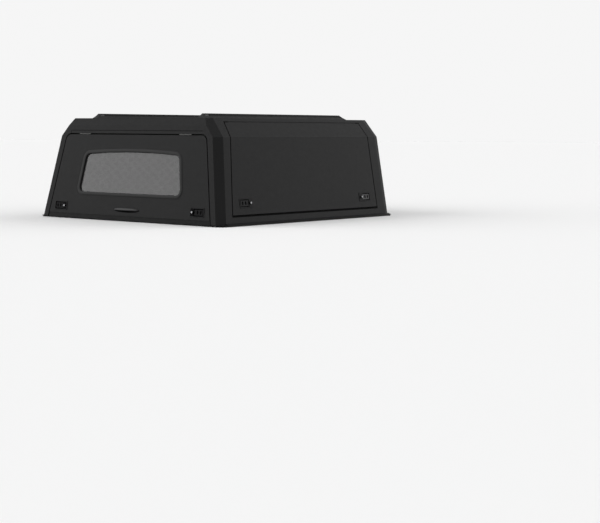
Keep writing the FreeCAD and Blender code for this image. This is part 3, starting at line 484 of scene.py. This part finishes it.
rearMirrored = (-lock["rear"][0], lock["rear"][1])
lockSpots = {
    "rear_lever_right": (lockPlace(rearPlace, lock["rear"], False), "leverCoat"),
    "rear_lever_left": (lockPlace(rearPlace, rearMirrored, True), "leverCoat"),
    # the side doors' levers take lighter copies of the lever coat: painted light
    "side_rear_lever_right": (lockPlace(flankPlace, lock["sideRear"], True), "leverDoor"),
    "side_front_lever_right": (lockPlace(flankPlace, lock["sideFront"], False), "leverGrey"),
    "side_rear_lever_left": (otherSide @ lockPlace(flankPlace, lock["sideRear"], True), "leverDoor"),
    "side_front_lever_left": (otherSide @ lockPlace(flankPlace, lock["sideFront"], False), "leverGrey"),
}


def lockPieceName(lever, word):
    return lever.replace("_lever", word).replace("_", "")


def topFace(shape):
    return max(shape.faces, key=lambda face: face.calc_center_median().z)


def keyBarrel(name, body, place):
    shape = bmesh.new()
    tall = lock["head"] - lock["foot"]
    bmesh.ops.create_cone(shape, cap_ends=True, segments=lock["barrelSteps"],
                          radius1=lock["radius"], radius2=lock["radius"], depth=tall)
    bmesh.ops.translate(shape, vec=(lock["barrelAt"], 0, lock["foot"] + tall / 2), verts=shape.verts)
    softenEdges(shape, list(topFace(shape).edges), lock["round"])
    top = topFace(shape)
    bmesh.ops.inset_region(shape, faces=[top], thickness=lock["dish"], use_even_offset=True)
    bmesh.ops.translate(shape, vec=(0, 0, -lock["dishDeep"]), verts=list(top.verts))
    # painted shade: a flat near-black block stands for the key slot's dark hollow
    slotVerts = addBlock(shape, lock["slot"], (lock["barrelAt"], 0, lock["head"] - lock["dishDeep"]))
    for face in {face for vert in slotVerts for face in vert.link_faces}:
        face.material_index = 1
    settle(shape, name, place, body, ["barrelChrome", "paintedShadeBlack"], sharpAngle=lock["sharpAngle"])


def caseBezel(name, body, place):
    shape = bmesh.new()
    thick = bezel["thick"]
    addBlock(shape, (bezel["long"], bezel["tall"], thick), (0, 0, bezel["foot"] + thick / 2))
    upright = [edge for edge in shape.edges if abs(edge.verts[0].co.z - edge.verts[1].co.z) > thick / 2]
    softenEdges(shape, upright, bezel["corner"], bezel["cornerSteps"])
    faces = [face for face in shape.faces if abs(face.normal.z) > 0.9]  # its front and its back
    bmesh.ops.inset_individual(shape, faces=faces, thickness=bezel["wide"], use_even_offset=True)
    edges = [edge for face in faces for edge in face.edges]
    bmesh.ops.delete(shape, geom=faces, context="FACES_ONLY")
    bmesh.ops.bridge_loops(shape, edges=edges)
    settle(shape, name, place, body, ["powderCoat"])


def scoopReach(point):  # how far the nearest finger scoop's middle is, in scoop radii
    return min(math.hypot((point.x - spot) / lock["scoopWide"], point.y / lock["scoopTall"])
               for spot in lock["scoops"])


def foldingLever(name, place, coatName):
    shape = bmesh.new()
    long = lock["leverEnd"] - lock["leverRear"]
    stepsAlong, stepsAcross = lock["grid"]
    made = bmesh.ops.create_grid(shape, x_segments=stepsAlong, y_segments=stepsAcross, size=0.5)["verts"]
    bmesh.ops.scale(shape, vec=(long, 2 * lock["leverHalf"], 1), verts=made)
    bmesh.ops.translate(shape, vec=(lock["leverRear"] + long / 2, 0, lock["leverTop"]), verts=made)
    for vert in made:
        away = scoopReach(vert.co)
        if away < lock["scoopRim"]:
            vert.co.z -= lock["scoopDeep"] * min(1, (lock["scoopRim"] - away) / lock["scoopWall"])
    # painted shade: the scoops' floors take the near-black second finish
    for face in shape.faces:
        if scoopReach(face.calc_center_median()) < 1:
            face.material_index = 1
    skirt = bmesh.ops.extrude_edge_only(shape, edges=openEdges(shape))["geom"]
    for item in skirt:
        if isinstance(item, bmesh.types.BMVert):
            item.co.z = lock["leverTop"] - lock["leverThick"]
    bmesh.ops.holes_fill(shape, edges=openEdges(shape), sides=0)
    eye = bmesh.ops.create_cone(shape, cap_ends=True, segments=lock["eyeSteps"], radius1=lock["eye"],
                                radius2=lock["eye"], depth=2 * lock["leverHalf"])["verts"]
    bmesh.ops.rotate(shape, matrix=Matrix.Rotation(math.pi / 2, 3, "X"), verts=eye)
    bmesh.ops.translate(shape, vec=(lock["leverRear"], 0, lock["leverTop"] - lock["eye"]), verts=eye)
    settle(shape, lockPieceName(name, "FoldingLever"), place, name, [coatName, "paintedShadeBlack"],
           [name], lock["sharpAngle"])


for name, (place, coatName) in lockSpots.items():
    carrier = "side_door_" + name.split("_")[-1] if name.startswith("side") else "rear_door"
    keyBarrel(lockPieceName(name, "KeyBarrel"), carrier, place)
    foldingLever(name, place, coatName)
    if carrier == "rear_door":
        caseBezel(lockPieceName(name, "CaseBezel"), carrier, place)
print("locks made")


# pull: a cup that is open below, with pointed ends, on a near-black plate of painted shade

pull = {
    "half": 106, "middle": 73, "tall": 13.4, "deep": 15.6, "foot": 0.2, "mouth": -6, "wall": 2.4,
    "fullness": 0.8, "steps": (48, 32), "sharpAngle": 50,  # a fullness of 1 is an ellipse, less fills its ends
    "plate": (110, 14.5, 0.5), "plateSpot": (4, 70.5), "plateSteps": 64,
}


def cupPull():
    shape = bmesh.new()
    around, along = pull["steps"]
    bmesh.ops.create_uvsphere(shape, u_segments=around, v_segments=along, radius=1)
    bmesh.ops.rotate(shape, matrix=Matrix.Rotation(math.pi / 2, 3, "Y"), verts=shape.verts)
    for vert in shape.verts:
        vert.co.x = math.copysign(abs(vert.co.x) ** pull["fullness"], vert.co.x)
    bmesh.ops.scale(shape, vec=(pull["half"], pull["tall"], pull["deep"]), verts=shape.verts)
    cutAway(shape, (0, 0, pull["foot"]), (0, 0, -1))
    cutAway(shape, (0, pull["mouth"], 0), (0, -1, 0))
    bmesh.ops.recalc_face_normals(shape, faces=shape.faces)
    bmesh.ops.solidify(shape, geom=shape.faces[:], thickness=pull["wall"])
    bmesh.ops.translate(shape, vec=(0, pull["middle"], 0), verts=shape.verts)
    settle(shape, "cupPull", rearPlace, "rear_door", ["gripPlastic"],
           ["rear_door_pull"], pull["sharpAngle"])


# painted shade: a near-black oval plate behind the cup, for the shade at the cup's right end and beneath it
def pullShadePlate():
    shape = bmesh.new()
    rim = bmesh.ops.create_circle(shape, cap_ends=True, segments=pull["plateSteps"], radius=1)["verts"]
    bmesh.ops.scale(shape, vec=pull["plate"], verts=shape.verts)
    extrudeFace(shape, rim[0].link_faces[0], (0, 0, pull["plate"][2]))
    bmesh.ops.translate(shape, vec=(*pull["plateSpot"], 0), verts=shape.verts)
    settle(shape, "pullShadePlate", rearPlace, "rear_door", ["paintedShadeBlack"])


cupPull()
pullShadePlate()
print("pull made")


# roof rails: the bay behind each slanted leg is bridged at its top and closed by a grey end piece, a painted
# highlight where the slanted rear end catches light

railEnd = {
    "at": 455, "roof": 631, "leg": 190, "lean": 1.288, "stop": 252.2,  # the bay runs from leaning leg to stop
    "low": 15, "strip": 25.4, "high": 29.4, "half": 11, "stripHalf": 13.9,
}


def railEndPiece(name, side, low, high, half, coatName):
    shape = bmesh.new()
    outline = [(railEnd["leg"] + railEnd["lean"] * low, low), (railEnd["stop"], low),
               (railEnd["stop"], high), (railEnd["leg"] + railEnd["lean"] * high, high)]
    face = shape.faces.new([shape.verts.new((-half, y, z)) for y, z in outline])
    extrudeFace(shape, face, (2 * half, 0, 0))
    foot = (side * railEnd["at"] / 1000, slopes["rear"], railEnd["roof"] / 1000)
    settle(shape, name, Matrix.Translation(foot) @ millimetres, "shell", [coatName])


for side, word in ((1, "Right"), (-1, "Left")):
    railEndPiece("railEndHighlightFill" + word, side, railEnd["low"], railEnd["strip"], railEnd["half"], "railEndPaintedHighlight")
    railEndPiece("railEndBridge" + word, side, railEnd["strip"], railEnd["high"], railEnd["stripHalf"], "powderCoat")
print("rail ends made")


# studio: pale floor and backdrop, soft suns on both sides, camera where the photograph was taken from

studio = {
    "pale": 0.92, "world": 0.55,  # backdrop as it is seen, and as it lights the canopy
    "floorPale": 0.912, "floorLit": 0.35, "floorRadius": 60, "floorSteps": 64,
    "suns": [  # turn and height of the light's travel and its spread, in degrees
        {"turn": -38, "height": 20, "strength": 2.1, "spread": 60},
        {"turn": 142, "height": 20, "strength": 1.3, "spread": 60},
        {"turn": 60, "height": 80, "strength": 0.25, "spread": 70},
    ],
}
lens = {
    "spot": (6.442, -6.9746, 0.5715), "turn": 39.4457, "rise": 5.2363, "roll": 0.2956,
    "focal": 86.922, "sensor": 36, "far": 200,
}


def rayMix(tree, seen, lit):
    path = tree.nodes.new("ShaderNodeLightPath")
    looking = path.outputs["Is Camera Ray"]
    for ray in ("Is Glossy Ray", "Is Transmission Ray"):
        either = tree.nodes.new("ShaderNodeMath")
        either.operation = "MAXIMUM"
        tree.links.new(looking, either.inputs[0])
        tree.links.new(path.outputs[ray], either.inputs[1])
        looking = either.outputs[0]
    mix = tree.nodes.new("ShaderNodeMix")
    mix.data_type = "RGBA"
    mix.inputs["A"].default_value = (lit, lit, lit, 1)
    mix.inputs["B"].default_value = (seen, seen, seen, 1)
    tree.links.new(looking, mix.inputs["Factor"])
    return mix.outputs["Result"]


def heading(turn, height):
    return Vector((-math.sin(turn) * math.cos(height), math.cos(turn) * math.cos(height), -math.sin(height)))


def makeFloor():
    shape = bmesh.new()
    bmesh.ops.create_circle(shape, cap_ends=True, segments=studio["floorSteps"], radius=studio["floorRadius"])
    mesh = bpy.data.meshes.new("studioFloor")
    shape.to_mesh(mesh)
    shape.free()
    floor = bpy.data.objects.new("studioFloor", mesh)
    bpy.context.collection.objects.link(floor)
    paint = bpy.data.materials.new("studioFloor")
    paint.use_nodes = True
    tree = paint.node_tree
    tree.nodes.remove(tree.nodes["Principled BSDF"])
    matt = tree.nodes.new("ShaderNodeBsdfDiffuse")
    tree.links.new(rayMix(tree, studio["floorPale"], studio["floorLit"]), matt.inputs["Color"])
    tree.links.new(matt.outputs["BSDF"], tree.nodes["Material Output"].inputs["Surface"])
    mesh.materials.append(paint)


def makeLight():
    world = bpy.data.worlds.new("studio")
    world.use_nodes = True
    tree = world.node_tree
    tree.links.new(rayMix(tree, studio["pale"], studio["world"]), tree.nodes["Background"].inputs["Color"])
    bpy.context.scene.world = world
    for number, sun in enumerate(studio["suns"]):
        lamp = bpy.data.lights.new(f"softSun{number}", "SUN")
        lamp.energy = sun["strength"]
        lamp.angle = math.radians(sun["spread"])
        source = bpy.data.objects.new(f"softSun{number}", lamp)
        away = heading(math.radians(sun["turn"]), math.radians(sun["height"]))
        source.rotation_mode = "QUATERNION"
        source.rotation_quaternion = away.to_track_quat("-Z", "Y")
        bpy.context.collection.objects.link(source)


def makeCamera():
    data = bpy.data.cameras.new("camera")
    data.sensor_width = lens["sensor"]
    data.lens = lens["focal"]
    data.clip_end = lens["far"]
    eye = bpy.data.objects.new("camera", data)
    turn, rise, roll = (math.radians(lens[key]) for key in ("turn", "rise", "roll"))
    ahead = heading(turn, rise)
    level = Vector((math.cos(turn), math.sin(turn), 0))
    up = level.cross(ahead)
    right = level * math.cos(roll) + up * math.sin(roll)
    top = up * math.cos(roll) - level * math.sin(roll)
    eye.matrix_world = Matrix.Translation(lens["spot"]) @ Matrix((right, top, -ahead)).transposed().to_4x4()
    bpy.context.collection.objects.link(eye)
    bpy.context.scene.camera = eye


makeFloor()
makeLight()
makeCamera()
bpy.context.scene.view_settings.view_transform = "Standard"
print("studio made")
